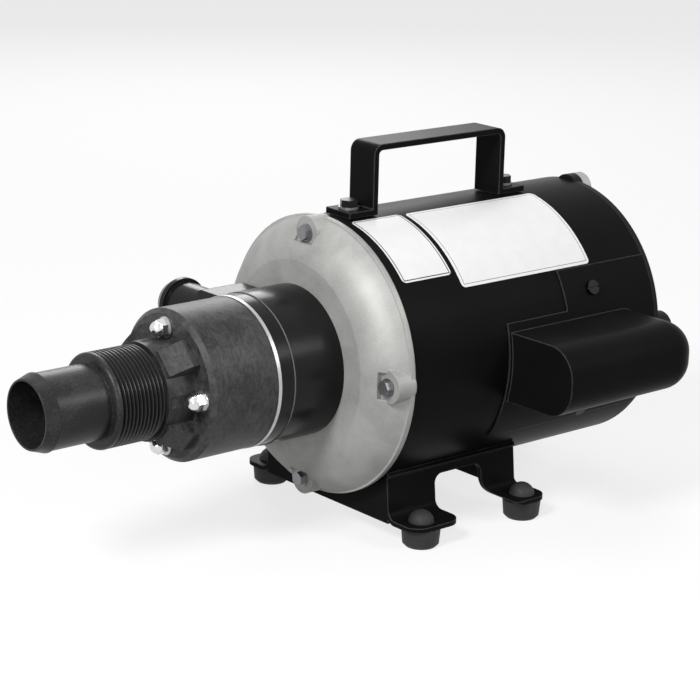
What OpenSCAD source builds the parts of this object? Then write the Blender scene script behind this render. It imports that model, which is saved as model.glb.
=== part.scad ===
// Self-priming macerator waste pump on a foot-mounted electric motor.
// The shaft lies along X. The inlet mouth is at the origin and faces -X, +Z is up,
// and the capacitor cover stands on the -Y side.

/* [Inlet] */
// Outer radius of the hose tube
hose_r = 19.15; // [17:0.05:22]
// Outer radius of the barb at the mouth
barb_r = 19.7; // [19.4:0.1:23]
// Length of the barb cone
barb_len = 6.5; // [4:0.5:10]
// Radius of the inlet bore
inlet_bore_r = 16.5; // [13:0.1:17]
// Length of the hose tube, mouth to collar
hose_len = 36; // [25:0.5:50]
// Length of the rounded collar in front of the thread
collar_len = 3; // [2.5:0.5:14]
// Radius over the pipe thread's crests
thread_r = 24.15; // [23:0.05:28]
// Depth of the pipe thread
thread_depth = 1.5; // [0.8:0.1:2]
// Length of the pipe thread
thread_len = 26; // [15:0.5:35]
// Length of the neck between thread and housing face
neck_len = 16.5; // [8:0.5:20]

/* [Chopper housing] */
// Outer radius of the housing
housing_r = 39; // [38:0.1:44]
// Length of the housing behind its front face
housing_len = 40; // [32:0.5:55]
// Width of the chamfer round the front face
housing_chamfer = 2.4; // [1:0.1:3]
// Radius of the chamber round the chopper
chamber_r = 24; // [20:0.1:25]
// Width of the four gussets between the nuts
gusset_w = 15; // [8:0.5:20]
// Reach of the gussets from the shaft
gusset_r = 32.5; // [29:0.1:35]
// Height of a gusset's outer end above the front face
gusset_step = 4; // [2:0.5:8]
// Radius of the circle of studs
stud_circle_r = 30.3; // [30:0.1:32]
// Radius of a stud
stud_r = 2.5; // [2:0.1:2.6]
// Clearance round a stud
stud_gap = 0.3; // [0.1:0.05:0.4]

/* [Chopper] */
// Radius of the fixed chopper plate
chopper_plate_r = 26.4; // [26:0.1:26.6]
// Thickness of the fixed chopper plate
chopper_plate_t = 3; // [2:0.1:4]
// Reach of the spinning blade
blade_r = 22; // [16:0.1:23]
// Thickness of the spinning blade
blade_t = 3; // [2:0.1:4]
// Running gap between blade and plate
blade_gap = 0.3; // [0.2:0.05:0.6]
// Height of the nut on the shaft's end
chopper_nut_h = 6; // [4:0.1:8]

/* [Pump body] */
// Thickness of the wear plate
wear_plate_t = 2; // [1:0.1:3]
// Amount by which the wear plate's edge stands proud
wear_plate_proud = 0.4; // [0:0.1:1]
// Thickness of the impeller cover
cover_plate_t = 8; // [5:0.1:12]
// Thickness of the gasket behind the impeller cover
gasket_t = 0.5; // [0.3:0.05:1]
// Outer radius of the pump body
pump_body_r = 39.8; // [39:0.1:45]
// Radius of the impeller chamber
impeller_chamber_r = 25.4; // [22:0.1:26]
// Depth of the impeller chamber
impeller_chamber_d = 21.5; // [15:0.1:24]
// Height of the cam inside the chamber
cam_h = 3.5; // [1:0.1:5]
// Thickness of the wall that holds the shaft seal
seal_wall_t = 7; // [5:0.1:10]
// Depth of the slinger's recess
slinger_recess = 2.6; // [2:0.1:5]
// Number of impeller vanes
vane_count = 5; // [4:1:7]
// Clearance of the impeller in its chamber
impeller_gap = 0.3; // [0.2:0.05:0.6]

/* [Outlet] */
// Outer radius of the outlet tube
outlet_r = 12.3; // [11:0.1:14]
// Radius of the outlet barb
outlet_barb_r = 14.2; // [12.6:0.1:16]
// Radius of the outlet bore
outlet_bore_r = 9.6; // [7:0.1:10]
// Height of the outlet axis above the shaft
outlet_z = 16.6; // [12:0.1:18]
// Distance of the outlet mouth from the shaft
outlet_y = 79.5; // [62:0.5:95]
// Reach of the outlet block from the shaft
outlet_block_y = 44; // [40:0.5:52]
// Height of the outlet block
outlet_block_h = 33; // [29:0.5:34]

/* [Motor] */
// Outer radius of the motor shell
shell_r = 72.3; // [70:0.1:80]
// Wall of the motor shell
shell_t = 2; // [1.2:0.1:3]
// Length of the motor shell
shell_len = 176.5; // [165:0.5:210]
// Amount by which the front bell's rim stands proud of the shell
rim_proud = 1.7; // [0.5:0.1:3]
// Width of a bell's rim lip
rim_lip = 3; // [2:0.1:5]
// Width of the ledge between a bell's rim and its dome
rim_ledge = 1.2; // [0.4:0.1:2]
// Height of the front bell, rim plane to front face
bell_h = 18; // [16:0.1:24]
// Height of the rear bell, rim plane to rear face
rear_bell_h = 16; // [14:0.1:22]
// Radius of the bells' flat centre face
bell_face_r = 52.5; // [47:0.1:54]
// Radius of the bells' domed flank
bell_dome_r = 30; // [22:0.5:45]
// Wall of the end bells
bell_t = 4.5; // [3:0.1:6]
// Length of the bells' register inside the shell
register_len = 5; // [3:0.1:8]
// Distance from the shell's outside to the through bolts' centres
bolt_inset = 5.9; // [5.7:0.1:6.5]
// Radius of a through bolt
bolt_r = 2; // [1.8:0.1:2.5]
// Radius of a bolt boss
boss_r = 8.6; // [7:0.1:9]
// Height of the bolt bosses above the rim plane
boss_h = 11.5; // [9:0.1:13]
// Width of the flat cut for a bolt head
spot_w = 14; // [11:0.5:17]
// Distance from a bolt's centre to the inner wall of that flat
spot_in = 5; // [4.8:0.1:7]
// Radius of the stator bore
stator_bore_r = 38.3; // [30:0.1:40]
// Length of the stator stack
stack_len = 80; // [50:1:90]
// Distance from the front rim to the stator stack
stack_setback = 40; // [34:1:50]
// Number of stator slots
slot_count = 24; // [12:6:36]
// Air gap between stator and rotor
air_gap = 0.4; // [0.3:0.05:0.8]
// Length of a winding's end turns
end_turn_len = 18; // [10:0.5:20]

/* [Shaft] */
// Radius of the shaft in the pump
pump_shaft_r = 6.35; // [5.5:0.05:7]
// Radius of the shaft's threaded end
thread_end_r = 4.8; // [4:0.1:5]
// Radius of the shaft in the bearings
journal_r = 7.5; // [7.4:0.05:7.6]
// Radius of the shaft in the rotor
rotor_shaft_r = 9.5; // [8.5:0.1:12]
// Outer radius of a bearing
bearing_r = 17.5; // [17:0.1:19]
// Width of a bearing
bearing_w = 11; // [9:0.1:13]
// Radius of a bearing ball
ball_r = 3; // [2.5:0.1:3.2]
// Number of balls in a bearing
ball_count = 8; // [6:1:9]
// Travel of the start switch's actuator
actuator_travel = 4; // [2:0.5:6]

/* [Capacitor cover] */
// Reach of the cover from the shaft
cap_cover_y = 116.5; // [115:0.5:130]
// Height of the cover's top above the shaft
cap_cover_top = 16.5; // [16:0.5:24]
// Depth of the cover's bottom below the shaft
cap_cover_bottom = 21; // [20:0.5:34]
// Length of the cover
cap_cover_len = 98; // [96:0.5:104]
// Distance from the cover to the shell's rear end
cap_cover_rear_gap = 10.5; // [8:0.5:16]
// Sheet thickness of the cover
cap_cover_t = 1.2; // [0.8:0.1:2]
// Radius of the cover's long edges and of its rounded rear end
cap_cover_edge = 16.5; // [10:0.5:18]
// Lowest angle of the cover's skirt, up from the side
skirt_low = -36; // [-40:0.5:-33]
// Angle of the skirt's upper edge beside the cover
skirt_mid = 17; // [15:0.5:20]
// Angle of the upper edge of the skirt's tall panel
skirt_high = 34.4; // [30:0.1:46]
// Length of the tall panel
panel_len = 66.5; // [55:0.5:70]
// Distance from the cover's screws to the shell's rear end
cover_screw_setback = 45.8; // [35:0.1:55]
// Angle of the upper screw above the side
cover_screw_up = 24.4; // [22:0.1:28]
// Angle of the lower screw below the side
cover_screw_down = 31; // [28:0.1:32]
// Radius of the capacitor
capacitor_r = 16.5; // [14:0.1:17]
// Length of the capacitor
capacitor_len = 66; // [50:0.5:68]

/* [Handle] */
// Width of the handle strap
handle_w = 19.2; // [14:0.1:30]
// Thickness of the handle strap
handle_t = 3.2; // [2:0.1:5]
// Height of the handle above the shell
handle_h = 37; // [32:0.5:60]
// Length of the handle between its outer faces
handle_len = 93; // [80:0.5:120]
// Distance from the front rim to the handle
handle_setback = 24.7; // [22:0.1:36]
// Length of a handle foot
handle_foot = 19; // [16:0.5:21]
// Radius of the handle bolts
handle_bolt_r = 2.6; // [2:0.1:3.5]

/* [Base] */
// Height of the shell above the floor
ground_gap = 19.2; // [16:0.1:30]
// Sheet thickness of the base
base_t = 2.5; // [1.5:0.1:3]
// Distance from the front rim to the base
base_setback = 5; // [3:0.5:12]
// Length of the base over its flanges
base_len = 96; // [92:0.5:120]
// Length by which the rear flanges reach behind the rear wall
base_tail = 5.5; // [4:0.5:14]
// Half width of the base between its side walls
base_half_w = 48; // [46:0.5:49]
// Half width of the base over its flanges
base_flange_half_w = 72.5; // [72:0.5:84]
// Inner radius of the bend between a side wall and its flange
flange_bend = 5; // [3:0.5:6]
// Radius of the flanges' corners
flange_corner = 9; // [3:0.5:10]
// Height of a rubber foot below the flange
foot_h = 10.5; // [7:0.5:12]
// Radius of a rubber foot
foot_r = 10.4; // [8:0.1:11.5]
// Distance between the feet along the shaft
foot_pitch_x = 72.5; // [70:0.1:92]
// Half distance between the feet across the shaft
foot_half_pitch_y = 62.4; // [62.4:0.1:68]
// Radius of a foot's dome
foot_dome_r = 6.9; // [5:0.1:7]
// Length of a front leg along the shaft
front_leg_len = 33; // [26:0.5:35]
// Width of the arch between the legs
arch_w = 33; // [26:0.5:36]
// Height of the arch above the flanges
arch_h = 20; // [16:0.5:22]
// Radius of the arch's upper corners
arch_corner = 5; // [2:0.5:8]
// Radius of the rear legs' front lower corners
rear_leg_round = 13; // [4:0.5:14]

/* [Fits] */
// Gap round parts that are pressed or seated
seat_gap = 0.05; // [0.02:0.01:0.1]
// Radial gap of running fits
run_gap = 0.06; // [0.03:0.01:0.1]

/* [Hidden] */
$fn = 64;
e = 0.5;

// Stations along the shaft
thread_x = hose_len + collar_len;
neck_x = thread_x + thread_len;
face_x = neck_x + neck_len;
wear_x = face_x + housing_len;
cover_x = wear_x + wear_plate_t;
gasket_x = cover_x + cover_plate_t;
body_x = gasket_x + gasket_t;
body_len = impeller_chamber_d + seal_wall_t + slinger_recess;
bell_x = body_x + body_len;
rim_x = bell_x + bell_h;
shell_end_x = rim_x + shell_len;
rear_face_x = shell_end_x + rear_bell_h;
stack_x = rim_x + stack_setback;
stack_end_x = stack_x + stack_len;

// Fasteners
stud_hole_r = stud_r + stud_gap;
washer_r = 2.2 * stud_r;
washer_t = 1.2;
nut_pocket_r = washer_r + 0.6;
nut_h = 1.7 * stud_r;
nut_corner_r = 1.92 * stud_r;
nut_dome_r = 1.6 * stud_r;
stud_grip = 8;
bolt_circle_r = shell_r - bolt_inset;
bolt_hole_r = bolt_r + stud_gap;
bolt_head_h = 3.8;
bolt_head_r = 1.95 * bolt_r;
bolt_flange_r = 2.3 * bolt_r;
bolt_flange_h = 1;

// Bearings
ball_pitch_r = (journal_r + bearing_r) / 2;
race_land = 1.9;
front_bearing_x = bell_x + 7;
rear_bearing_x = shell_end_x + 1.5;
wave_washer_t = 1.2;
bearing_hub_r = bearing_r + 5;
rear_hub_x = rear_bearing_x + bearing_w + wave_washer_t;

// Impeller
hub_insert_r = pump_shaft_r + 3;
hub_r = hub_insert_r + 3.4;
vane_t = 3.2;
vane_bulb_r = 2.6;
key_w = 3;
impeller_x = body_x + impeller_gap;
impeller_w = impeller_chamber_d - 2 * impeller_gap;
cam_r = impeller_chamber_r - cam_h;
seal_r = hub_insert_r + 4;
seal_len = seal_wall_t - 1.5;
slinger_r = 15;
slinger_side_gap = 0.4;

// Inlet and outlet
flare_past_face = 6;
gusset_start = 1.5;
outlet_x = body_x + outlet_r + 0.1;
port_y = sqrt(pow(impeller_chamber_r, 2) - pow(outlet_z - outlet_bore_r, 2)) + 0.5;
port_flare = 0.6;
port_depth = 11;

// Chopper
plate_seat_r = chopper_plate_r + seat_gap * 2;
feed_hole_r = 3.6;
plate_x = wear_x - chopper_plate_t;
blade_x = plate_x - blade_gap - blade_t;
shaft_end_x = blade_x - chopper_nut_h - 1.5;

// Motor
shell_in_r = shell_r - shell_t;
rim_r = shell_r + rim_proud;
stator_r = shell_in_r - seat_gap;
rotor_r = stator_bore_r - air_gap;
slot_w = 0.5 * 360 / slot_count / 57.3 * (stator_bore_r + 9);
slot_depth = 16;
end_ring_h = 8;
spool_len = 18;
spool_hub_t = 4;
spool_disc_t = 3;
spool_disc_w = 14;
switch_setback = 20.2;
switch_x = shell_end_x - switch_setback;
spool_x = switch_x - blade_gap - spool_len;
switch_board_x = 5;
switch_board_t = 2.2;
switch_board_r = 36;
switch_post_r = 4;
switch_post_place = 30;
contact_w = 12;
contact_h = 6;
contact_len = 9;
protector_r = 11;
protector_h = 9;
protector_place = 36;

// Shell fittings
strap_z = shell_r + 0.1;
handle_x = rim_x + handle_setback;
handle_end_x = handle_x + handle_len;
handle_top = strap_z + handle_h;
handle_bend = 2.5;
handle_bolt_in = 8.5;
handle_bolt_seat = strap_z + handle_t + washer_t;
handle_bolt_tip = bolt_circle_r + bolt_r + 0.3;
cap_cover_x = shell_end_x - cap_cover_len - cap_cover_rear_gap;
skirt_end_x = shell_end_x - 0.5;
panel_x = shell_end_x - panel_len;
cover_screw_x = shell_end_x - cover_screw_setback;
cover_screw_r = 2;
cover_screw_head_r = 3.9;
cover_screw_head_h = 1.9;
cover_screw_len = 7;
cover_screw_slot_w = 0.9;
cap_cover_mid_z = (cap_cover_top - cap_cover_bottom) / 2;
capacitor_setback = 12;
terminal_w = 5;
terminal_t = 1;
terminal_len = 8;
skirt_r = shell_r + 0.1;
skirt_t = 0.9;

// Base
base_x = rim_x + base_setback;
base_end_x = base_x + base_len;
base_wall_x = base_end_x - base_tail;
rear_leg_x = base_x + front_leg_len + arch_w;
shaft_h = shell_r + ground_gap;
flange_z = -shaft_h + foot_h;
bend_z = flange_z + base_t + flange_bend;
saddle_r = shell_r + 0.1;
saddle_angle = 48;
saddle_drop = saddle_r * sin(saddle_angle);
saddle_reach = saddle_r * cos(saddle_angle);
arch_in_y = base_half_w - base_t;
foot_x = base_x + 12.5;
foot_plug_r = 4.6;
foot_rise = 6.2;

// Places children on the shaft at x, with their z axis along the shaft and their x axis down
module along(x) translate([x, 0, 0]) rotate([0, 90, 0]) children();

// Repeats children on a circle round the local z axis
module polar(n, r, start = 0)
  for (i = [0 : n - 1])
    rotate([0, 0, start + i * 360 / n]) translate([r, 0, 0]) children();

// Extrudes a profile drawn in Y and Z from x0 to x1
module extrude_x(x0, x1)
  translate([x0, 0, 0]) rotate([90, 0, 90]) linear_extrude(x1 - x0) children();

// Extrudes a profile drawn in X and Z over a width centred on the shaft
module extrude_y(w)
  translate([0, w / 2, 0]) rotate([90, 0, 0]) linear_extrude(w) children();

// A plain ring along the local z axis
module ring(r_out, r_in, h)
  difference() {
    cylinder(r = r_out, h = h);
    translate([0, 0, -e]) cylinder(r = r_in, h = h + 2 * e);
  }

// A hexagon prism measured over its corners
module hex(corner_r, h) cylinder(r = corner_r, h = h, $fn = 6);

// A rectangle from low to high corner with rounded corners
module round_rect(low, high, r) {
  w = high[0] - low[0];
  h = high[1] - low[1];
  translate([low[0] + r, low[1]]) square([w - 2 * r, h]);
  translate([low[0], low[1] + r]) square([w, h - 2 * r]);
  for (x = [low[0] + r, high[0] - r], y = [low[1] + r, high[1] - r])
    translate([x, y]) circle(r);
}

// Profile of the inlet, radius against distance along the shaft
module inlet_outline() {
  mouth_r = inlet_bore_r + 1;
  root_r = thread_r - thread_depth;
  collar_round = 2;
  polygon([
    [0, 0], [mouth_r, 0], [barb_r, barb_len], [hose_r, barb_len + 0.4], [hose_r, hose_len],
    [thread_r - collar_round, hose_len], [thread_r - collar_round, hose_len + collar_round],
    [thread_r, hose_len + collar_round], [thread_r, thread_x], [root_r, thread_x],
    [root_r, neck_x], [thread_r + 1, neck_x], [thread_r + 1, face_x],
    [housing_r - housing_chamfer, face_x], [housing_r, face_x + housing_chamfer],
    [housing_r, wear_x], [0, wear_x]
  ]);
  translate([thread_r - collar_round, hose_len + collar_round]) circle(collar_round);
}

module inlet_hollow() {
  polygon([
    [0, -e], [inlet_bore_r, -e], [inlet_bore_r, neck_x], [chamber_r, face_x + flare_past_face],
    [chamber_r, plate_x], [plate_seat_r, plate_x], [plate_seat_r, wear_x + e], [0, wear_x + e]
  ]);
}

module gussets()
  for (a = [45 : 90 : 315])
    rotate([0, 0, a]) rotate([90, 0, 0]) translate([0, 0, -gusset_w / 2]) linear_extrude(gusset_w)
      polygon([
        [thread_r, neck_x + gusset_start], [thread_r + 2, neck_x + gusset_start],
        [gusset_r, face_x - gusset_step], [gusset_r, face_x + e], [thread_r, face_x + e]
      ]);

module chopper_housing() color("#3a3a3c")
  along(0) difference() {
    union() {
      rotate_extrude() inlet_outline();
      gussets();
    }
    rotate_extrude() inlet_hollow();
    polar(4, stud_circle_r) {
      translate([0, 0, face_x - e]) cylinder(r = stud_hole_r, h = housing_len + 2 * e);
      translate([0, 0, neck_x + gusset_start]) cylinder(r = nut_pocket_r, h = neck_len - gusset_start);
    }
  }

module cap_nut()
  difference() {
    union() {
      translate([0, 0, -nut_h]) hex(nut_corner_r, nut_h);
      translate([0, 0, -nut_h]) sphere(r = nut_dome_r);
    }
    translate([0, 0, -nut_h]) cylinder(r = stud_r + seat_gap, h = nut_h + e);
  }

module cap_nuts() color("#d8d8da")
  along(face_x - washer_t) polar(4, stud_circle_r) cap_nut();

module nut_washers() color("#b4b4b6")
  along(face_x - washer_t) polar(4, stud_circle_r) ring(washer_r, stud_hole_r, washer_t);

module pump_studs() color("#9a9a9c")
  along(face_x - washer_t - nut_h + 0.2) polar(4, stud_circle_r)
    cylinder(r = stud_r, h = bell_x + stud_grip - 0.5 - (face_x - washer_t - nut_h + 0.2));

module chopper_plate() color("#a8a9ab")
  along(plate_x) difference() {
    cylinder(r = chopper_plate_r, h = chopper_plate_t);
    translate([0, 0, -e]) cylinder(r = pump_shaft_r + 1, h = chopper_plate_t + 2 * e);
    polar(8, (chamber_r + pump_shaft_r) / 2) translate([0, 0, -e])
      cylinder(r = feed_hole_r, h = chopper_plate_t + 2 * e);
  }

module chopper_blade() color("#b9babc")
  along(blade_x) difference() {
    linear_extrude(blade_t) {
      circle(2 * thread_end_r);
      for (a = [0, 180])
        rotate(a) polygon([
          [0, -2 * thread_end_r], [0.55 * blade_r, -1.3 * thread_end_r], [blade_r, 0],
          [0.97 * blade_r, 0.22 * blade_r], [0.5 * blade_r, 0.8 * thread_end_r], [0, 1.6 * thread_end_r]
        ]);
    }
    translate([0, 0, -e]) cylinder(r = thread_end_r + seat_gap, h = blade_t + 2 * e);
  }

module chopper_nut() color("#c3c4c6")
  along(blade_x - chopper_nut_h) difference() {
    hex(1.75 * thread_end_r, chopper_nut_h);
    translate([0, 0, -e]) cylinder(r = thread_end_r + seat_gap, h = chopper_nut_h + 2 * e);
  }

// Opening through which the waste passes from the chopper to the impeller
module feed_port() {
  intersection() {
    difference() {
      circle(chamber_r - 2);
      circle(pump_shaft_r + 4);
    }
    polygon([[0, 0], [40, 26], [40, -26]]);
  }
}

module plate_holes(h) {
  translate([0, 0, -e]) cylinder(r = pump_shaft_r + 1, h = h + 2 * e);
  translate([0, 0, -e]) linear_extrude(h + 2 * e) feed_port();
  polar(4, stud_circle_r) translate([0, 0, -e]) cylinder(r = stud_hole_r, h = h + 2 * e);
}

module wear_plate() color("#c9c9c6")
  along(wear_x) difference() {
    cylinder(r = housing_r + wear_plate_proud, h = wear_plate_t);
    plate_holes(wear_plate_t);
  }

module impeller_cover() color("#1c1c1e")
  along(cover_x) difference() {
    cylinder(r = pump_body_r - 0.4, h = cover_plate_t);
    plate_holes(cover_plate_t);
  }

module body_gasket() color("#a5a49e")
  along(gasket_x) difference() {
    ring(pump_body_r, impeller_chamber_r, gasket_t);
    polar(4, stud_circle_r) translate([0, 0, -e]) cylinder(r = stud_hole_r, h = gasket_t + 2 * e);
  }

// Cross-section of the impeller chamber, drawn with +X of the sketch pointing down
module chamber_outline(gap) {
  cam_centre = cam_r - gap + 3 * impeller_chamber_r;
  difference() {
    circle(impeller_chamber_r - gap);
    translate([0, -cam_centre]) circle(3 * impeller_chamber_r);
  }
}

module outlet_block() {
  half = outlet_block_h / 2;
  difference() {
    extrude_x(body_x, bell_x - slinger_recess - 1.5)
      round_rect([0, outlet_z - half], [outlet_block_y, outlet_z + half], 5);
    along(body_x - e) cylinder(r = impeller_chamber_r, h = body_len + 2 * e);
  }
}

// Places children on the outlet's axis, with their z axis pointing out of it
module on_outlet() translate([outlet_x, 0, outlet_z]) rotate([-90, 0, 0]) children();

module outlet_tube()
  on_outlet() rotate_extrude()
    polygon([
      [0, outlet_block_y - 8], [outlet_r, outlet_block_y - 8], [outlet_r, outlet_y - 8.4],
      [outlet_barb_r, outlet_y - 8], [outlet_barb_r, outlet_y - 5], [outlet_r - 0.8, outlet_y],
      [0, outlet_y]
    ]);

// Outlet bore, which widens a little where it opens into the impeller chamber
module outlet_bore()
  on_outlet() rotate_extrude()
    polygon([
      [0, port_y - port_depth], [outlet_bore_r + port_flare, port_y - port_depth],
      [outlet_bore_r, port_y], [outlet_bore_r, outlet_y + e], [0, outlet_y + e]
    ]);

module pump_body() color("#161618")
  difference() {
    union() {
      along(body_x) cylinder(r = pump_body_r, h = body_len);
      outlet_block();
      outlet_tube();
    }
    along(body_x - e) linear_extrude(impeller_chamber_d + e) chamber_outline(0);
    along(body_x) cylinder(r = seal_r + seat_gap, h = impeller_chamber_d + seal_len + seat_gap);
    along(body_x) cylinder(r = pump_shaft_r + 1, h = body_len + e);
    along(bell_x - slinger_recess) cylinder(r = slinger_r + 2, h = slinger_recess + e);
    outlet_bore();
    along(body_x - e) polar(4, stud_circle_r) cylinder(r = stud_hole_r, h = body_len + 2 * e);
  }

module impeller() color("#202022")
  along(impeller_x) difference() {
    linear_extrude(impeller_w) {
      circle(hub_r);
      intersection() {
        chamber_outline(impeller_gap);
        for (i = [0 : vane_count - 1])
          rotate(i * 360 / vane_count) {
            translate([0, -vane_t / 2]) square([impeller_chamber_r - vane_bulb_r, vane_t]);
            translate([impeller_chamber_r - impeller_gap - vane_bulb_r, 0]) circle(vane_bulb_r);
          }
      }
    }
    translate([0, 0, -e]) cylinder(r = hub_insert_r + seat_gap, h = impeller_w + 2 * e);
  }

module key_slot(extra)
  translate([0, -key_w / 2 - extra, 0])
    square([pump_shaft_r + key_w / 2 + extra, key_w + 2 * extra]);

module impeller_hub() color("#b08d4a")
  along(impeller_x) linear_extrude(impeller_w) difference() {
    circle(hub_insert_r);
    circle(pump_shaft_r + seat_gap);
    key_slot(seat_gap);
  }

module drive_key() color("#8f9092")
  along(impeller_x + 1.5) linear_extrude(impeller_w - 3)
    translate([pump_shaft_r - key_w / 2, -key_w / 2]) square([key_w, key_w]);

module shaft_seal() color("#2a2a2c")
  along(body_x + impeller_chamber_d)
    ring(seal_r, pump_shaft_r + run_gap, seal_len);

module slinger() color("#252527")
  along(bell_x - slinger_recess + slinger_side_gap)
    ring(slinger_r, pump_shaft_r + seat_gap, slinger_recess - 2 * slinger_side_gap);

// Half section of an end bell, radius against height from the rim plane to the face
module bell_section(face_h, rim) {
  dome_rim = rim - rim_ledge;
  dx = dome_rim - bell_face_r;
  dy = face_h - rim_lip;
  chord = sqrt(dx * dx + dy * dy);
  sag = sqrt(bell_dome_r * bell_dome_r - chord * chord / 4);
  centre = [(bell_face_r + dome_rim) / 2 - sag * dy / chord, (face_h + rim_lip) / 2 - sag * dx / chord];
  square([bell_face_r - 1, face_h]);
  square([rim, rim_lip]);
  intersection() {
    square([dome_rim, face_h]);
    translate(centre) circle(bell_dome_r, $fn = 96);
  }
}

// An end bell standing on its rim plane, face up, with its bosses, hollow and register
module bell(face_h, rim, hub_r) {
  register_in_r = shell_in_r - 9;
  difference() {
    union() {
      rotate_extrude() bell_section(face_h, rim);
      polar(4, bolt_circle_r) cylinder(r = boss_r, h = boss_h);
    }
    polar(4, bolt_circle_r)
      translate([-spot_in, -spot_w / 2, boss_h]) cube([spot_in + 2 * boss_r, spot_w, face_h]);
    rotate_extrude()
      polygon([
        [hub_r, -e], [register_in_r, -e], [register_in_r, 1], [bell_face_r - 2, face_h - bell_t],
        [hub_r, face_h - bell_t]
      ]);
  }
  translate([0, 0, -register_len]) ring(shell_in_r - seat_gap, register_in_r, register_len + 0.5);
}

module bolt_holes(h) polar(4, bolt_circle_r) translate([0, 0, -h / 2]) cylinder(r = bolt_hole_r, h = h);

module front_end_bell() color("#a9aaa9")
  difference() {
    translate([rim_x, 0, 0]) rotate([0, -90, 0]) bell(bell_h, rim_r, stud_circle_r + 2 * stud_r);
    along(rim_x) bolt_holes(4 * bell_h);
    along(front_bearing_x) cylinder(r = bearing_r + seat_gap, h = bell_h + e);
    along(bell_x - e) cylinder(r = journal_r + 1.2, h = bell_h + e);
    along(bell_x - e) polar(4, stud_circle_r) cylinder(r = stud_r + seat_gap, h = stud_grip + e);
  }

module rear_end_bell() color("#a9aaa9")
  difference() {
    union() {
      along(shell_end_x) bell(rear_bell_h, shell_r, bearing_hub_r);
      along(rear_face_x - 1) cylinder(r = bearing_hub_r - 2, h = 4);
      along(switch_x + switch_board_x + switch_board_t) polar(2, switch_post_place)
        cylinder(r = switch_post_r, h = switch_setback - switch_board_x - switch_board_t + rear_bell_h - 3);
    }
    along(shell_end_x) bolt_holes(4 * bell_h);
    along(shell_end_x - e) cylinder(r = bearing_r + seat_gap, h = rear_hub_x - shell_end_x + e);
  }

module through_bolts() color("#77787a")
  along(rim_x - boss_h) polar(4, bolt_circle_r) {
    translate([0, 0, -bolt_flange_h]) cylinder(r = bolt_flange_r, h = bolt_flange_h);
    translate([0, 0, -bolt_head_h]) hex(bolt_head_r, bolt_head_h - bolt_flange_h + 0.1);
    translate([0, 0, -1]) cylinder(r = bolt_r, h = shell_len + 2 * boss_h + 7);
  }

module through_bolt_nuts() color("#8a8b8d")
  along(shell_end_x + boss_h) polar(4, bolt_circle_r) difference() {
    hex(bolt_head_r * 1.1, bolt_head_h);
    translate([0, 0, -e]) cylinder(r = bolt_r + seat_gap, h = bolt_head_h + 2 * e);
  }

module motor_shell() color("#121214")
  difference() {
    along(rim_x) ring(shell_r, shell_in_r, shell_len);
    for (x = handle_bolt_places())
      translate([x, 0, shell_in_r - 4]) cylinder(r = handle_bolt_r + seat_gap, h = 8);
    for (p = cover_screw_places())
      translate([p[0], 0, 0]) rotate([p[1], 0, 0]) translate([0, -shell_r, 0]) rotate([90, 0, 0])
        cylinder(r = cover_screw_r + seat_gap, h = 2 * cover_screw_len, center = true);
  }

module slots(clear, r_in, r_out)
  for (i = [0 : slot_count - 1])
    rotate(i * 360 / slot_count) translate([r_in, -slot_w / 2 + clear])
      square([r_out - r_in, slot_w - 2 * clear]);

module stator_core() color("#6f7073")
  along(stack_x) linear_extrude(stack_len) difference() {
    circle(stator_r);
    circle(stator_bore_r);
    slots(0, stator_bore_r + 2, stator_bore_r + 2 + slot_depth);
    for (a = [0 : 90 : 270])
      rotate(a) translate([bolt_circle_r - 2 * bolt_r, -2 * bolt_r]) square([20, 4 * bolt_r]);
  }

module stator_windings() color("#9c5a2e") {
  r_in = stator_bore_r + 3;
  r_out = stator_bore_r + 1 + slot_depth;
  along(stack_x - 1) linear_extrude(stack_len + 2) slots(0.4, r_in, r_out);
  for (x = [stack_x - 1 - end_turn_len, stack_end_x + 1])
    along(x) rotate_extrude() round_rect([r_in - 1.5, 0], [r_out + 1.5, end_turn_len], 5);
}

module rotor_core() color("#85868a")
  along(stack_x) difference() {
    union() {
      cylinder(r = rotor_r, h = stack_len);
      for (z = [-end_ring_h, stack_len - 1])
        translate([0, 0, z]) ring(rotor_r - 2.5, rotor_r - 13, end_ring_h + 1);
    }
    translate([0, 0, -e]) cylinder(r = rotor_shaft_r + seat_gap, h = stack_len + 2 * e);
  }

module motor_shaft() color("#b5b6b8")
  difference() {
    along(0) {
      front_shoulder = front_bearing_x + bearing_w;
      translate([0, 0, shaft_end_x]) cylinder(r = thread_end_r, h = bell_x - shaft_end_x);
      translate([0, 0, plate_x - blade_gap]) cylinder(r = pump_shaft_r, h = front_bearing_x - plate_x);
      translate([0, 0, front_bearing_x - 1])
        cylinder(r = journal_r, h = rear_bearing_x + bearing_w - front_bearing_x);
      translate([0, 0, front_shoulder]) cylinder(r = rotor_shaft_r, h = rear_bearing_x - front_shoulder);
    }
    along(impeller_x + 1.5 - seat_gap) linear_extrude(impeller_w - 3 + 2 * seat_gap)
      translate([pump_shaft_r - key_w / 2 - seat_gap, -key_w / 2 - seat_gap]) square(key_w + 2 * seat_gap);
  }

module bearing_ring(r_out, r_in)
  rotate_extrude() difference() {
    translate([r_in, 0]) square([r_out - r_in, bearing_w]);
    translate([ball_pitch_r, bearing_w / 2]) circle(ball_r + run_gap);
  }

module bearing_outer() color("#9fa0a3") bearing_ring(bearing_r, ball_pitch_r + race_land);
module bearing_inner() color("#a3a4a7") bearing_ring(ball_pitch_r - race_land, journal_r + seat_gap / 2);

module bearing_balls() color("#c9cacc")
  translate([0, 0, bearing_w / 2]) {
    translate([0, 0, -1.6]) ring(ball_pitch_r + 0.9, ball_pitch_r - 0.9, 3.2);
    polar(ball_count, ball_pitch_r) sphere(r = ball_r);
  }

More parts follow.
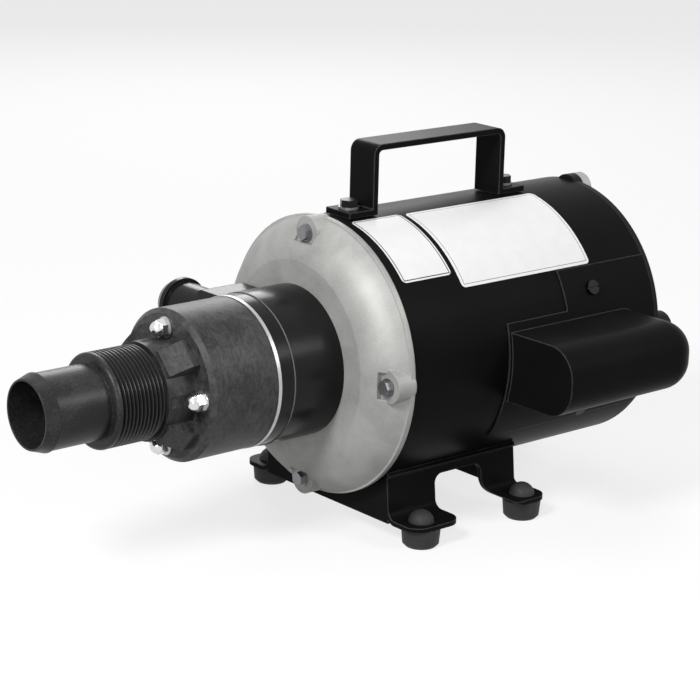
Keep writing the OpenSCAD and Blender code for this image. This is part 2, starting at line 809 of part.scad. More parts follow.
module front_bearing_outer() along(front_bearing_x) bearing_outer();
module front_bearing_inner() along(front_bearing_x) bearing_inner();
module front_bearing_balls() along(front_bearing_x) bearing_balls();
module rear_bearing_outer() along(rear_bearing_x) bearing_outer();
module rear_bearing_inner() along(rear_bearing_x) bearing_inner();
module rear_bearing_balls() along(rear_bearing_x) bearing_balls();

module wave_washer() color("#8d8e90")
  along(rear_bearing_x + bearing_w) ring(bearing_r - 0.3, bearing_r - 3.5, wave_washer_t);

module start_switch() color("#7a3f24")
  along(switch_x) {
    translate([0, 0, switch_board_x]) ring(switch_board_r, rotor_shaft_r + 2 * spool_hub_t, switch_board_t);
    for (a = [90, 270])
      rotate([0, 0, a]) translate([rotor_shaft_r + contact_len, -contact_w / 2, 0])
        cube([contact_len, contact_w, contact_h]);
  }

module switch_actuator() color("#d9d3c4")
  along(spool_x) difference() {
    union() {
      cylinder(r = rotor_shaft_r + spool_hub_t, h = spool_len);
      translate([0, 0, spool_len - spool_disc_t])
        cylinder(r = rotor_shaft_r + spool_disc_w, h = spool_disc_t);
    }
    translate([0, 0, -e]) cylinder(r = rotor_shaft_r + run_gap, h = spool_len + 2 * e);
  }

module thermal_protector() color("#333438")
  along(rear_face_x - bell_t - protector_h) rotate([0, 0, 90]) translate([protector_place, 0, 0]) {
    cylinder(r = protector_r, h = protector_h);
    translate([-contact_w / 2, -spool_hub_t, -spool_hub_t])
      cube([contact_w, 2 * spool_hub_t, spool_hub_t + e]);
  }

module capacitor() color("#1b1b1d")
  translate([cap_cover_x + capacitor_setback, -shell_r - capacitor_r - 0.3, cap_cover_mid_z])
    rotate([0, 90, 0]) {
      cylinder(r = capacitor_r, h = capacitor_len);
      for (y = [-terminal_w, terminal_w])
        translate([-terminal_w / 2, y - terminal_t / 2, -terminal_len])
          cube([terminal_w, terminal_t, terminal_len + e]);
    }

// Outside of the capacitor cover drawn inwards by a wall t: a straight length and a rounded rear end
module cap_cover_form(t) {
  y_in = 0.6 * shell_r;
  edge = cap_cover_edge - t;
  end_x = cap_cover_x + cap_cover_len - cap_cover_edge;
  end_y = -cap_cover_y + cap_cover_edge;
  high = cap_cover_top - cap_cover_edge;
  low = -cap_cover_bottom + cap_cover_edge;
  extrude_x(cap_cover_x + t, end_x)
    round_rect([-cap_cover_y + t, -cap_cover_bottom + t], [-y_in + edge, cap_cover_top - t], edge);
  translate([end_x, end_y, low]) cylinder(r = edge, h = high - low);
  translate([end_x, end_y, low]) cube([edge, -y_in - end_y, high - low]);
  for (z = [low, high])
    translate([end_x, end_y, z]) {
      sphere(r = edge);
      rotate([-90, 0, 0]) cylinder(r = edge, h = -y_in - end_y);
    }
}

// Part of the ring round the shell between two angles, measured up from -Y
module skirt_sector(x0, x1, low, high)
  extrude_x(x0, x1) intersection() {
    difference() {
      circle(skirt_r + skirt_t);
      circle(skirt_r);
    }
    polygon(concat([[0, 0]], [
      for (angle = [low, (low + high) / 2, high]) 2 * shell_r * [-cos(angle), sin(angle)]
    ]));
  }

function cover_screw_places() = [[cover_screw_x, -cover_screw_up], [cover_screw_x, cover_screw_down]];

module capacitor_cover() color("#0e0e10")
  difference() {
    union() {
      difference() {
        cap_cover_form(0);
        cap_cover_form(cap_cover_t);
        along(cap_cover_x - e) cylinder(r = skirt_r, h = cap_cover_len + 2 * e);
      }
      difference() {
        union() {
          skirt_sector(cap_cover_x - 2, skirt_end_x, skirt_low, skirt_mid);
          skirt_sector(panel_x, skirt_end_x, skirt_mid - 1, skirt_high);
        }
        cap_cover_form(cap_cover_t);
      }
    }
    for (p = cover_screw_places())
      translate([p[0], 0, 0]) rotate([p[1], 0, 0]) translate([0, -shell_r, 0]) rotate([90, 0, 0])
        cylinder(r = cover_screw_r + seat_gap, h = 2 * cover_screw_len, center = true);
  }

module cover_screws() color("#4a4b4d")
  for (p = cover_screw_places())
    translate([p[0], 0, 0]) rotate([p[1], 0, 0]) translate([0, -skirt_r - skirt_t, 0]) rotate([90, 0, 0]) {
      difference() {
        translate([0, 0, seat_gap]) cylinder(r = cover_screw_head_r, h = cover_screw_head_h);
        translate([-cover_screw_len, -cover_screw_slot_w / 2, cover_screw_head_h / 2])
          cube([2 * cover_screw_len, cover_screw_slot_w, cover_screw_head_h]);
      }
      translate([0, 0, -cover_screw_len]) cylinder(r = cover_screw_r, h = cover_screw_len + e);
    }

function handle_bolt_places() = [handle_x - handle_bolt_in, handle_end_x + handle_bolt_in];

// Side view of the handle strap
module handle_outline() {
  difference() {
    round_rect([handle_x, strap_z - 10], [handle_end_x, handle_top], handle_bend + handle_t);
    round_rect(
      [handle_x + handle_t, strap_z - 20], [handle_end_x - handle_t, handle_top - handle_t], handle_bend
    );
    translate([handle_x - e, strap_z - 25]) square([handle_len + 2 * e, 25]);
  }
  translate([handle_x - handle_foot + handle_t, strap_z]) square([handle_foot, handle_t]);
  translate([handle_end_x - handle_t, strap_z]) square([handle_foot, handle_t]);
}

module handle() color("#101012")
  difference() {
    extrude_y(handle_w) handle_outline();
    for (x = handle_bolt_places())
      translate([x, 0, strap_z - e]) cylinder(r = handle_bolt_r + stud_gap, h = handle_t + 2 * e);
  }

module handle_washers() color("#5d5e60")
  for (x = handle_bolt_places())
    translate([x, 0, strap_z + handle_t]) ring(2.1 * handle_bolt_r, handle_bolt_r + stud_gap, washer_t);

module handle_bolts() color("#3c3d3f")
  for (x = handle_bolt_places())
    translate([x, 0, handle_bolt_tip]) {
      cylinder(r = handle_bolt_r, h = handle_bolt_seat - handle_bolt_tip + e);
      translate([0, 0, handle_bolt_seat - handle_bolt_tip])
        hex(1.85 * handle_bolt_r, 1.4 * handle_bolt_r);
    }

// Cross-section of the base sheet: saddle, side walls, bends and flanges
module base_section() {
  intersection() {
    difference() {
      circle(saddle_r + base_t);
      circle(saddle_r);
    }
    polygon([
      [0, 0], 2 * [saddle_reach, -saddle_drop], [0, -3 * saddle_r], 2 * [-saddle_reach, -saddle_drop]
    ]);
  }
  for (side = [0, 1]) mirror([side, 0]) {
    bend_y = base_half_w + base_t + flange_bend;
    polygon([
      [saddle_reach, -saddle_drop], [base_half_w + base_t, bend_z], [base_half_w, bend_z],
      [saddle_reach - base_t, -saddle_drop - base_t]
    ]);
    intersection() {
      translate([bend_y, bend_z]) difference() {
        circle(flange_bend + base_t);
        circle(flange_bend);
      }
      translate([base_half_w, flange_z]) square(flange_bend + base_t);
    }
    translate([bend_y, flange_z]) square([base_flange_half_w - bend_y, base_t]);
  }
}

// Front or rear wall of the base, below the saddle
module base_wall()
  difference() {
    polygon([
      [-saddle_reach, -saddle_drop], [saddle_reach, -saddle_drop], [base_half_w + base_t, bend_z],
      [base_half_w + base_t, flange_z], [-base_half_w - base_t, flange_z], [-base_half_w - base_t, bend_z]
    ]);
    circle(saddle_r);
  }

// Base seen from above: strip under the motor and two pairs of rounded flanges
module base_plan() {
  strip = base_half_w + base_t;
  translate([base_x, -strip]) square([base_wall_x - base_x, 2 * strip]);
  for (ends = [[base_x, base_x + front_leg_len], [rear_leg_x, base_end_x]])
    round_rect([ends[0], -base_flange_half_w], [ends[1], base_flange_half_w], flange_corner);
}

// Cuts in a side of the base, seen from the side
module leg_cuts() {
  arch_x = base_x + front_leg_len;
  low = flange_z - 2 * foot_h;
  round_rect([arch_x, low], [rear_leg_x, flange_z + arch_h], arch_corner);
  difference() {
    translate([rear_leg_x - e, flange_z - e]) square(rear_leg_round + e);
    translate([rear_leg_x + rear_leg_round, flange_z + rear_leg_round]) circle(rear_leg_round);
  }
}

// Room behind the rear wall and above the rear flanges, seen from the side
module tail_cut() round_rect([base_wall_x, flange_z + base_t], [base_end_x + base_len, 0], arch_corner);

function foot_places() =
  [for (x = [foot_x, foot_x + foot_pitch_x], side = [-1, 1]) [x, side * foot_half_pitch_y]];

module base() color("#131315")
  difference() {
    union() {
      intersection() {
        extrude_x(base_x, base_end_x) base_section();
        translate([0, 0, -2 * shaft_h]) linear_extrude(2 * shaft_h) base_plan();
      }
      extrude_x(base_x, base_x + base_t) base_wall();
      extrude_x(base_wall_x - base_t, base_wall_x) base_wall();
    }
    for (side = [-1, 1])
      translate([0, side * (arch_in_y + base_flange_half_w / 2), 0])
        extrude_y(base_flange_half_w) leg_cuts();
    extrude_y(3 * base_flange_half_w) tail_cut();
    for (p = foot_places())
      translate([p[0], p[1], flange_z - e]) cylinder(r = foot_plug_r, h = base_t + 2 * e);
  }

module rubber_foot() {
  plug_r = foot_plug_r - seat_gap;
  top = base_t + seat_gap;
  rotate_extrude() {
    polygon([
      [0, -foot_h], [foot_r - 2.4, -foot_h], [foot_r - 0.8, -foot_h + 1.6], [foot_r, -seat_gap],
      [plug_r, -seat_gap], [plug_r, top], [0, top]
    ]);
    intersection() {
      translate([0, top + foot_rise - foot_dome_r]) circle(foot_dome_r);
      translate([0, top]) square([foot_dome_r, foot_dome_r]);
    }
  }
}

module rubber_feet() color("#1d1d1e")
  for (p = foot_places())
    translate([p[0], p[1], flange_z]) rubber_foot();

chopper_housing();
cap_nuts();
nut_washers();
pump_studs();
chopper_plate();
chopper_blade();
chopper_nut();
wear_plate();
impeller_cover();
body_gasket();
pump_body();
impeller();
impeller_hub();
drive_key();
shaft_seal();
slinger();
front_end_bell();
motor_shell();
rear_end_bell();
through_bolts();
through_bolt_nuts();
stator_core();
stator_windings();
rotor_core();
motor_shaft();
front_bearing_outer();
front_bearing_inner();
front_bearing_balls();
rear_bearing_outer();
rear_bearing_inner();
rear_bearing_balls();
wave_washer();
start_switch();
switch_actuator();
thermal_protector();
capacitor();
capacitor_cover();
cover_screws();
handle();
handle_bolts();
handle_washers();
base();
rubber_feet();
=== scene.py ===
"""Finishes, printed plates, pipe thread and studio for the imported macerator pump.

The CAD model is loaded as a fixed frame. Each operator below dresses one group of its nodes or adds
one piece that the CAD model leaves out. Lengths are in metres and angles in degrees unless a unit says
otherwise. The shaft is the X axis, Z is up, and the capacitor cover faces minus Y.
"""
import math

import bmesh
import bpy
from bpy.props import FloatProperty, FloatVectorProperty, IntProperty, PointerProperty
from mathutils import Matrix, Vector


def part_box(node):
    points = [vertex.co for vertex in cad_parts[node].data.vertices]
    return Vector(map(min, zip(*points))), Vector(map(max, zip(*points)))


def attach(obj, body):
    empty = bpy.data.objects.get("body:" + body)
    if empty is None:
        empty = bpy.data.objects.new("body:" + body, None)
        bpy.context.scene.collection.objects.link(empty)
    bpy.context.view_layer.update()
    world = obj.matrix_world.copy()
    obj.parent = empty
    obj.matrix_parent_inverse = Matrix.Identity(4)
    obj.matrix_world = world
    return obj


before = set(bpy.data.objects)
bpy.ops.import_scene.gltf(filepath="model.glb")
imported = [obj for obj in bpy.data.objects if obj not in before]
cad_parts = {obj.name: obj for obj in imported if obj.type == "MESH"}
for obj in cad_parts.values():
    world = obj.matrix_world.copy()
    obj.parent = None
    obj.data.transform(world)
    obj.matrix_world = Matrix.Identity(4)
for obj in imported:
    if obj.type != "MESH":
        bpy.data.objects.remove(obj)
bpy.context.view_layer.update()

bl_info = {
    "name": "Macerator pump dressing",
    "version": (1, 0, 0),
    "blender": (4, 5, 0),
    "location": "View3D > Sidebar > Pump",
    "description": "Finishes, thread, plates and studio for a macerator pump",
    "category": "Object",
}

MM = 0.001
CAD_BODY = "frame"

shell_low, shell_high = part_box("motor_shell")
SHELL_R = (shell_high.y - shell_low.y) / 2
RIM_X = shell_low.x
SHELL_END_X = shell_high.x
FLOOR_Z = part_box("rubber_feet")[0].z

# Half the floor's side
FLOOR_HALF = 6.0
# What every lamp points at
LAMP_TARGET = (0.2, 0.0, 0.0)
# Place and side of each square or oblong lamp; its power is a setting of the stage
LAMPS = {
    "key": ((-0.95, -0.4, 1.05), (0.4, 0.4)),
    "front": ((-0.9, -0.93, 0.4), (0.3, 0.3)),
    "fill": ((0.9, -1.3, 0.9), (0.5, 0.5)),
    "top": ((0.2, 0.3, 1.5), (1.0, 0.8)),
    "rear": ((1.0, 1.2, 0.7), (0.6, 0.6)),
}
SENSOR_WIDTH_MM = 36.0
CLIP_START = 0.05

# How far the back of a plate's film stands off the shell
FILM_LIFT = 0.02 * MM
# Distances of a printed line's two sides from the edge of its plate
SMALL_PLATE_LINE = (0.9 * MM, 1.5 * MM)
MAIN_PLATE_LINE = (1.6 * MM, 1.9 * MM)


class Value:
    """A shader output that takes part in Python expressions."""

    def __init__(self, sheet, socket):
        self.sheet = sheet
        self.socket = socket

    def __add__(self, other):
        return self.sheet.math("ADD", self, other)

    def __radd__(self, other):
        return self.sheet.math("ADD", other, self)

    def __sub__(self, other):
        return self.sheet.math("SUBTRACT", self, other)

    def __rsub__(self, other):
        return self.sheet.math("SUBTRACT", other, self)

    def __mul__(self, other):
        return self.sheet.math("MULTIPLY", self, other)

    def __rmul__(self, other):
        return self.sheet.math("MULTIPLY", other, self)

    def __gt__(self, other):
        return self.sheet.math("GREATER_THAN", self, other)

    def __lt__(self, other):
        return self.sheet.math("LESS_THAN", self, other)

    def __abs__(self):
        return self.sheet.math("ABSOLUTE", self)


def grey(level):
    return (level, level, level)


def scaled(colour, share):
    return tuple(share * part for part in colour)


def opaque(colour):
    return tuple(colour) + (1.0,)


class Sheet:
    """A node tree whose nodes are added one by one and read as expressions."""

    def __init__(self, tree):
        self.tree = tree

    def feed(self, socket, value):
        if isinstance(value, Value):
            self.tree.links.new(value.socket, socket)
        else:
            socket.default_value = value

    def node(self, kind, settings=None, inputs=None, output=0):
        made = self.tree.nodes.new(kind)
        for key, value in (settings or {}).items():
            if key == "stops":
                ramp = made.color_ramp
                while len(ramp.elements) < len(value):
                    ramp.elements.new(1.0)
                for element, (place, colour) in zip(ramp.elements, value):
                    element.position = place
                    element.color = opaque(colour)
            else:
                setattr(made, key, value)
        for key, value in (inputs or {}).items():
            self.feed(made.inputs[key], value)
        return Value(self, made.outputs[output])

    def math(self, operation, first, second=0.0):
        return self.node("ShaderNodeMath", {"operation": operation}, {0: first, 1: second})

    def seen_directly(self):
        """One for rays from the camera, a gloss or glass, and nought for rays that only light a surface."""
        camera = self.node("ShaderNodeLightPath", output="Is Camera Ray")
        glossy = self.node("ShaderNodeLightPath", output="Is Glossy Ray")
        clear = self.node("ShaderNodeLightPath", output="Is Transmission Ray")
        return self.math("MINIMUM", camera + glossy + clear, 1.0)


class Finish(Sheet):
    """A material with its Principled shader."""

    def __init__(self, name, **constants):
        self.material = bpy.data.materials.new(name)
        self.material.use_nodes = True
        super().__init__(self.material.node_tree)
        self.shader = self.tree.nodes["Principled BSDF"]
        for socket, value in constants.items():
            label = socket.replace("_", " ").title().replace("Ior", "IOR")
            self.shader.inputs[label].default_value = value

    def place(self):
        return self.node("ShaderNodeTexCoord", output="Object")

    def axis(self, letter):
        """Distance along one axis of the pump's frame."""
        return self.node("ShaderNodeSeparateXYZ", {}, {"Vector": self.place()}, output=letter)

    def stretched(self, scale):
        return self.node("ShaderNodeMapping", {}, {"Vector": self.place(), "Scale": scale})

    def noise(self, grains_per_metre, detail=3.0, roughness=0.5, distortion=0.0, where=None):
        inputs = {"Vector": where or self.place(), "Scale": grains_per_metre, "Detail": detail,
                  "Roughness": roughness, "Distortion": distortion}
        return self.node("ShaderNodeTexNoise", {}, inputs)

    def ramp(self, factor, stops):
        return self.node("ShaderNodeValToRGB", {"stops": stops}, {"Fac": factor})

    def rise(self, value, start, full):
        """Smooth step from nought at start to one at full."""
        inputs = {"Value": value, "From Min": start, "From Max": full}
        return self.node("ShaderNodeMapRange", {"interpolation_type": "SMOOTHSTEP"}, inputs)

    def mix(self, factor, first, second):
        first, second = (c if isinstance(c, Value) else opaque(c) for c in (first, second))
        inputs = {"Factor": factor, 6: first, 7: second}
        return self.node("ShaderNodeMix", {"data_type": "RGBA"}, inputs, output=2)

    def rounded(self, radius):
        """Normal of a surface whose sharp edges are rounded by the given radius."""
        return self.node("ShaderNodeBevel", {"samples": 6}, {"Radius": radius})

    def bump(self, height, strength, distance=0.4 * MM, edge=0.0):
        """Bump over a surface whose sharp edges are rounded by the given radius."""
        inputs = {"Height": height, "Strength": strength, "Distance": distance}
        if edge:
            inputs["Normal"] = self.rounded(edge)
        return self.node("ShaderNodeBump", {}, inputs)

    def worn_and_highlit_edges(self, radius, patches_per_metre=260.0, gain=4.0, patchiness=0.9):
        """Patchy mask of the edges within the given radius, where a rounded normal leaves the flat one:
        edge wear and a painted highlight along them.
        """
        flat = self.node("ShaderNodeNewGeometry", output="Normal")
        facing = self.node("ShaderNodeVectorMath", {"operation": "DOT_PRODUCT"},
                           {0: self.rounded(radius), 1: flat}, output="Value")
        patch = self.noise(patches_per_metre, roughness=0.6)
        wear_and_highlight = (1.0 - facing) * gain + (patch - 0.5) * patchiness
        return self.rise(wear_and_highlight, start=0.15, full=0.6)

    def give(self, **links):
        for socket, value in links.items():
            self.feed(self.shader.inputs[socket.replace("_", " ")], value)
        return self.material


def shade(settings, name):
    return tuple(getattr(settings, name))


def mottled_plastic(settings):
    """Glass-filled plastic: pale swirls and flecks on the housing, smooth and dark on the inlet tube."""
    finish = Finish("mottled_plastic", specular_ior_level=0.2)
    dark = shade(settings, "mottled_dark")
    pale = shade(settings, "mottled_pale")
    tube = shade(settings, "tube_dark")
    round_the_barrel = finish.stretched((1.0, 0.3, 0.3))
    swirl = finish.noise(150, detail=6, roughness=0.68, distortion=1.2)
    streak = finish.noise(420, detail=5, roughness=0.7, distortion=1.6, where=round_the_barrel)
    blotch = finish.noise(42, distortion=0.7)
    fleck = finish.noise(900, roughness=0.65)
    clouds = swirl * 0.3 + streak * 0.34 + fleck * 0.14 + blotch * 0.22
    half = tuple(0.6 * d + 0.4 * p for d, p in zip(dark, pale))
    mottle = finish.ramp(clouds, [(0.4, dark), (0.5, half), (0.62, pale)])
    smooth = finish.ramp(blotch * 0.5 + fleck * 0.5,
                         [(0.36, scaled(tube, 0.6)), (0.5, tube), (0.66, scaled(tube, 2.6))])
    share = finish.rise(finish.axis("X"), settings.mottle_start, settings.mottle_full)
    rough = 0.28 + fleck * 0.16 + share * 0.08
    normal = finish.bump(fleck * 0.5 + swirl * share * 0.6, 0.3, edge=0.5 * MM)
    return finish.give(Base_Color=finish.mix(share, smooth, mottle), Roughness=rough, Normal=normal)


def smooth_plastic(settings):
    """Plastic of the inlet thread: the same moulding where it came out smooth."""
    finish = Finish("smooth_plastic", specular_ior_level=0.3)
    dark = shade(settings, "tube_dark")
    cloud = finish.noise(90, detail=4, roughness=0.55, distortion=0.6)
    fleck = finish.noise(700, detail=2)
    colour = finish.ramp(cloud, [(0.3, scaled(dark, 0.5)), (0.75, dark)])
    return finish.give(Base_Color=colour, Roughness=0.24 + fleck * 0.16, Normal=finish.bump(fleck, 0.15))


def gloss_plastic(settings):
    """Moulded black plastic with a polished tool's gloss and faint flow marks."""
    finish = Finish("gloss_plastic", specular_ior_level=0.13)
    black = shade(settings, "moulded_black")
    flow = finish.noise(35, distortion=0.8, where=finish.stretched((0.5, 1.0, 1.0)))
    fine = finish.noise(900, detail=2)
    colour = finish.mix(flow, black, scaled(black, 1.8))
    normal = finish.bump(fine, 0.06, edge=0.5 * MM)
    return finish.give(Base_Color=colour, Roughness=0.16 + flow * 0.12, Normal=normal)


def enamel(settings):
    """Black stove enamel: a little orange peel, dust-fine haze, and edges made pale by wear and by a
    painted highlight.
    """
    finish = Finish("black_enamel", specular_ior_level=0.022)
    black = shade(settings, "enamel_black")
    peel = finish.noise(330, detail=2, roughness=0.45)
    haze = finish.noise(26, roughness=0.55)
    coat = finish.mix(haze, scaled(black, 0.7), scaled(black, 1.3))
    # Paler patches along the edges: partly rubbed enamel, partly a painted highlight on the rounded edges.
    colour = finish.mix(finish.worn_and_highlit_edges(1.2 * MM), coat, shade(settings, "enamel_worn_and_highlit"))
    normal = finish.bump(peel, 0.045, edge=0.8 * MM)
    return finish.give(Base_Color=colour, Roughness=0.3 + haze * 0.1, Normal=normal)


def cast_aluminium(settings, name, painted_to=None):
    """Die-cast aluminium: matt grain, cloudy skin, lighter along sharp edges and darker in creases.

    Where painted_to is given, the casting is black in front of that station and on the boss by the cover.
    """
    finish = Finish(name, metallic=0.25, specular_ior_level=0.12)
    base = shade(settings, "aluminium")
    cloud = finish.noise(38, detail=4, roughness=0.6, distortion=0.4)
    grain = finish.noise(1500, detail=2, roughness=0.6)
    # Pointiness makes the casting lighter along sharp edges and darker in creases.
    sharp = finish.node("ShaderNodeNewGeometry", output="Pointiness")
    skin = cloud * 0.55 + grain * 0.25 + sharp * 0.2
    colour = finish.ramp(skin, [(0.34, scaled(base, 0.72)), (0.5, base), (0.68, scaled(base, 1.25))])
    if painted_to is not None:
        ragged = (cloud - 0.5) * (2 * MM)
        rim = finish.axis("X") + ragged < painted_to
        aside = finish.axis("Y") + ragged < -settings.side_paint
        boss = aside * (abs(finish.axis("Z")) < settings.side_paint_half)
        colour = finish.mix(finish.math("MAXIMUM", rim, boss), colour, shade(settings, "enamel_black"))
    normal = finish.bump(grain * 0.7 + cloud * 0.3, 0.22, edge=0.8 * MM)
    return finish.give(Base_Color=colour, Roughness=0.44 + grain * 0.16, Normal=normal)


def plain_metal(name, level, roughness, marks_per_metre=900, stretch=(1.0, 1.0, 1.0)):
    """Metal with turning or rolling marks: stretch sets the way they run."""
    finish = Finish(name, metallic=1.0)
    marks = finish.noise(marks_per_metre, roughness=0.6, where=finish.stretched(stretch))
    cloud = finish.noise(60)
    colour = finish.ramp(marks * 0.6 + cloud * 0.4, [(0.3, scaled(level, 0.8)), (0.7, level)])
    rough = roughness - 0.05 + marks * 0.12
    return finish.give(Base_Color=colour, Roughness=rough, Normal=finish.bump(marks, 0.08))


def rubber(settings):
    """Soft black rubber with a fine moulded skin and a dusty bloom."""
    finish = Finish("soft_rubber", specular_ior_level=0.35)
    black = shade(settings, "rubber_black")
    bloom = finish.noise(80, detail=4, roughness=0.6)
    skin = finish.noise(1200, detail=2)
    colour = finish.ramp(bloom, [(0.35, black), (0.75, scaled(black, 2.4))])
    return finish.give(Base_Color=colour, Roughness=0.55 + skin * 0.2, Normal=finish.bump(skin, 0.15))


def fibre_gasket(settings):
    """Pressed fibre sheet with short random fibres."""
    finish = Finish("fibre_gasket", specular_ior_level=0.2)
    pale = shade(settings, "gasket_pale")
    fibres = finish.noise(1400, detail=4, roughness=0.7, distortion=0.8)
    colour = finish.ramp(fibres, [(0.3, scaled(pale, 0.6)), (0.7, pale)])
    return finish.give(Base_Color=colour, Roughness=0.7 + fibres * 0.2, Normal=finish.bump(fibres, 0.3))


def laminations(settings, sheet_thickness=0.65 * MM):
    """Stacked motor sheet, with one line for each sheet."""
    finish = Finish("laminations", metallic=1.0)
    steel = shade(settings, "lamination_steel")
    sheets = finish.math("SINE", finish.axis("X") * (2 * math.pi / sheet_thickness))
    scale = finish.noise(160, roughness=0.6)
    mixed = sheets * 0.16 + scale * 0.6 + 0.2
    colour = finish.ramp(mixed, [(0.25, scaled(steel, 0.55)), (0.8, steel)])
    return finish.give(Base_Color=colour, Roughness=0.38 + scale * 0.2, Normal=finish.bump(sheets, 0.25))


def varnished_copper(settings):
    """Wound copper wire under amber varnish."""
    finish = Finish("varnished_copper", metallic=0.85, coat_roughness=0.15)
    copper = shade(settings, "copper")
    strands = finish.node("ShaderNodeTexWave", {"bands_direction": "Z"},
                          {"Vector": finish.place(), "Scale": 320.0, "Distortion": 3.0, "Detail": 2.0})
    colour = finish.ramp(strands, [(0.2, scaled(copper, 0.4)), (0.8, copper)])
    return finish.give(Base_Color=colour, Roughness=0.3 + strands * 0.2, Coat_Weight=0.3 + strands * 0.2,
                       Normal=finish.bump(strands, 0.4))


def moulded(name, level, roughness):
    """Plain moulded plastic with a slight cloud and a fine skin."""
    finish = Finish(name, specular_ior_level=0.4)
    cloud = finish.noise(70)
    skin = finish.noise(1000, detail=2)
    colour = finish.ramp(cloud, [(0.3, scaled(level, 0.8)), (0.7, level)])
    rough = roughness - 0.06 + skin * 0.12
    return finish.give(Base_Color=colour, Roughness=rough, Normal=finish.bump(skin, 0.1))


class PumpFinishSettings(bpy.types.PropertyGroup):
    """Colours of the finishes."""

    mottled_dark: FloatVectorProperty(
        name="Mottled dark", description="Dark of the glass-filled housing", subtype="COLOR",
        default=grey(0.010))
    mottled_pale: FloatVectorProperty(
        name="Mottled pale", description="Pale swirls of the glass-filled housing", subtype="COLOR",
        default=grey(0.068))
    mottle_start: FloatProperty(
        name="Mottle start", description="Where the inlet's smooth plastic ends", unit="LENGTH",
        default=64 * MM)
    mottle_full: FloatProperty(
        name="Mottle full", description="Where the housing is fully mottled", unit="LENGTH",
        default=72 * MM)
    tube_dark: FloatVectorProperty(
        name="Tube", description="Smooth plastic of the inlet tube", subtype="COLOR", default=grey(0.013))
    moulded_black: FloatVectorProperty(
        name="Moulded black", description="Gloss plastic of the pump body", subtype="COLOR",
        default=grey(0.005))
    enamel_black: FloatVectorProperty(
        name="Enamel", description="Black enamel of the motor", subtype="COLOR", default=grey(0.0055))
    # Pale enamel along the edges: partly rubbed wear, partly a painted highlight.
    enamel_worn_and_highlit: FloatVectorProperty(
        name="Rubbed enamel", description="Enamel rubbed thin along its edges", subtype="COLOR",
        default=grey(0.06))
    aluminium: FloatVectorProperty(
        name="Aluminium", description="Cast end bells", subtype="COLOR", default=(0.33, 0.33, 0.32))
    rear_paint: FloatProperty(
        name="Rear paint", description="Width of the shell's paint on the rear bell", unit="LENGTH",
        default=6 * MM)
    side_paint: FloatProperty(
        name="Side paint", description="Distance from the shaft past which the cover-side boss is painted",
        unit="LENGTH", default=65 * MM)
    side_paint_half: FloatProperty(
        name="Side paint height", description="Half height of the paint on the cover-side boss",
        unit="LENGTH", default=12 * MM)
    chrome: FloatVectorProperty(
        name="Chrome", description="Bright plated cap nuts", subtype="COLOR", default=grey(0.78))
    steel: FloatVectorProperty(
        name="Steel", description="Plain stainless steel", subtype="COLOR", default=(0.52, 0.52, 0.53))
    zinc: FloatVectorProperty(
        name="Zinc", description="Dull zinc plating of the bolts", subtype="COLOR",
        default=(0.27, 0.27, 0.28))
    oxide: FloatVectorProperty(
        name="Oxide", description="Dark oxide of the small screws", subtype="COLOR", default=grey(0.02))
    rubber_black: FloatVectorProperty(
        name="Rubber", description="Rubber of the feet and impeller", subtype="COLOR", default=grey(0.012))
    gasket_pale: FloatVectorProperty(
        name="Gasket", description="Pressed fibre", subtype="COLOR", default=(0.16, 0.16, 0.15))
    lamination_steel: FloatVectorProperty(
        name="Laminations", description="Motor sheet", subtype="COLOR", default=(0.3, 0.3, 0.31))
    copper: FloatVectorProperty(
        name="Copper", description="Varnished winding wire", subtype="COLOR", default=(0.55, 0.22, 0.09))
    brass: FloatVectorProperty(
        name="Brass", description="Impeller insert", subtype="COLOR", default=(0.62, 0.45, 0.19))
    phenolic: FloatVectorProperty(
        name="Phenolic", description="Brown moulding of the switch and capacitor", subtype="COLOR",
        default=(0.16, 0.07, 0.04))
    nylon: FloatVectorProperty(
        name="Nylon", description="Off-white moulding of the switch spool", subtype="COLOR",
        default=(0.66, 0.62, 0.54))
    plate_white: FloatVectorProperty(
        name="Plate", description="White film of the shell plates", subtype="COLOR", default=grey(0.72))
    ink: FloatVectorProperty(
        name="Ink", description="Printed line of the shell plates", subtype="COLOR", default=grey(0.04))


class InletThreadSettings(bpy.types.PropertyGroup):
    """Pipe thread cut on the inlet."""

    start_x: FloatProperty(name="Start", description="Where the thread starts", unit="LENGTH",
                           default=39 * MM)
    end_x: FloatProperty(name="End", description="Where the thread ends", unit="LENGTH", default=65 * MM)
    pitch: FloatProperty(name="Pitch", description="Advance in one turn", unit="LENGTH", default=2.21 * MM)
    crest_r: FloatProperty(name="Crest radius", description="Outer radius", unit="LENGTH",
                           default=24.1 * MM)
    root_r: FloatProperty(name="Root radius", description="Radius at the bottom of the thread",
                          unit="LENGTH", default=22.55 * MM)
    crest_share: FloatProperty(name="Crest", description="Flat of the crest, as a share of the pitch",
                               default=0.18)
    run_in: FloatProperty(name="Run in", description="Turns over which the ridge rises", default=0.15)
    run_out: FloatProperty(name="Run out", description="Turns over which the ridge dies away", default=0.3)
    steps: IntProperty(name="Steps", description="Steps in one turn", default=96, min=24)


